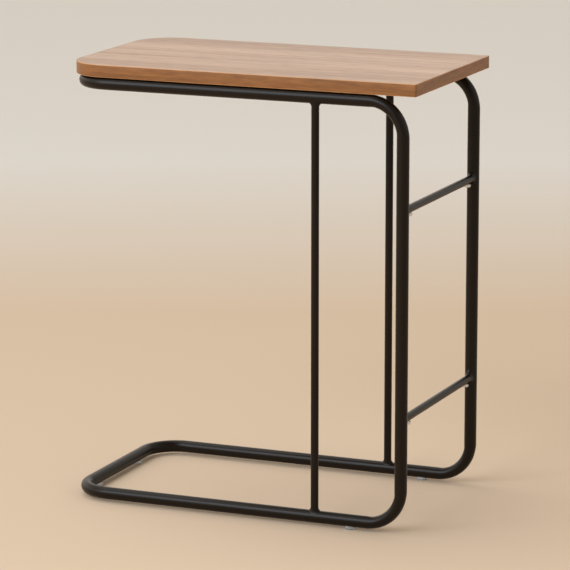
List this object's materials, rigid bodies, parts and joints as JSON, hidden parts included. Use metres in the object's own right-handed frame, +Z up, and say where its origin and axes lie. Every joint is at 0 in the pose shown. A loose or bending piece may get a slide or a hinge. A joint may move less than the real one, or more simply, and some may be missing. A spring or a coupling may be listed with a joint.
{
  "type": "side table",
  "caption": "C-shaped side table: wood-print board cantilevered on a bent black steel tube frame with struts and crossbars, so its base slides under a sofa or bed.",
  "frame": {"origin": "on the floor, in the middle of the table's outline seen from above", "axes": "+Z up; +X along the table's length, towards the two uprights, so the open side of the C faces -X; +Y towards the rear, with the front run at -Y"},
  "size_m": [0.48, 0.2744, 0.573],
  "materials": {
    "wood_print": "printed walnut-tone sheet with straight lengthwise grain, satin",
    "edge_band": "printed edge band with lengthwise grain, satin",
    "particle_board": "raw particle board, hidden",
    "backing_paper": "plain backing sheet, matt",
    "powder_coat": "near-black powder coat on steel, semi-matt",
    "zinc_steel": "bright zinc-plated steel",
    "clear_plastic": "milky clear plastic"
  },
  "bodies": {
    "root": {"tabletop_core": "particle_board", "tabletop_face_sheet": "wood_print", "tabletop_backing_sheet": "backing_paper", "tabletop_edge_band": "edge_band", "tabletop_end_band": "edge_band", "front_frame_tube": "powder_coat", "rear_frame_tube": "powder_coat", "top_joint_sleeve": "zinc_steel", "base_joint_sleeve": "zinc_steel", "front_strut": "powder_coat", "rear_strut": "powder_coat", "front_strut_base_weld": "powder_coat", "front_strut_top_weld": "powder_coat", "rear_strut_base_weld": "powder_coat", "rear_strut_top_weld": "powder_coat", "upper_crossbar": "powder_coat", "lower_crossbar": "powder_coat", "upper_front_spigot": "powder_coat", "upper_rear_spigot": "powder_coat", "lower_front_spigot": "powder_coat", "lower_rear_spigot": "powder_coat", "upper_front_spigot_weld": "powder_coat", "upper_rear_spigot_weld": "powder_coat", "lower_front_spigot_weld": "powder_coat", "lower_rear_spigot_weld": "powder_coat", "upper_front_crossbar_screw": "zinc_steel", "upper_rear_crossbar_screw": "zinc_steel", "lower_front_crossbar_screw": "zinc_steel", "lower_rear_crossbar_screw": "zinc_steel", "front_left_tab": "powder_coat", "front_right_tab": "powder_coat", "rear_left_tab": "powder_coat", "rear_right_tab": "powder_coat", "front_left_tab_weld": "powder_coat", "front_right_tab_weld": "powder_coat", "rear_left_tab_weld": "powder_coat", "rear_right_tab_weld": "powder_coat", "front_left_tabletop_screw": "zinc_steel", "front_right_tabletop_screw": "zinc_steel", "rear_left_tabletop_screw": "zinc_steel", "rear_right_tabletop_screw": "zinc_steel", "front_left_insert": "zinc_steel", "front_right_insert": "zinc_steel", "rear_left_insert": "zinc_steel", "rear_right_insert": "zinc_steel", "front_end_foot": "clear_plastic", "rear_end_foot": "clear_plastic", "front_run_foot": "clear_plastic", "rear_run_foot": "clear_plastic"}
  },
  "joints": []
}
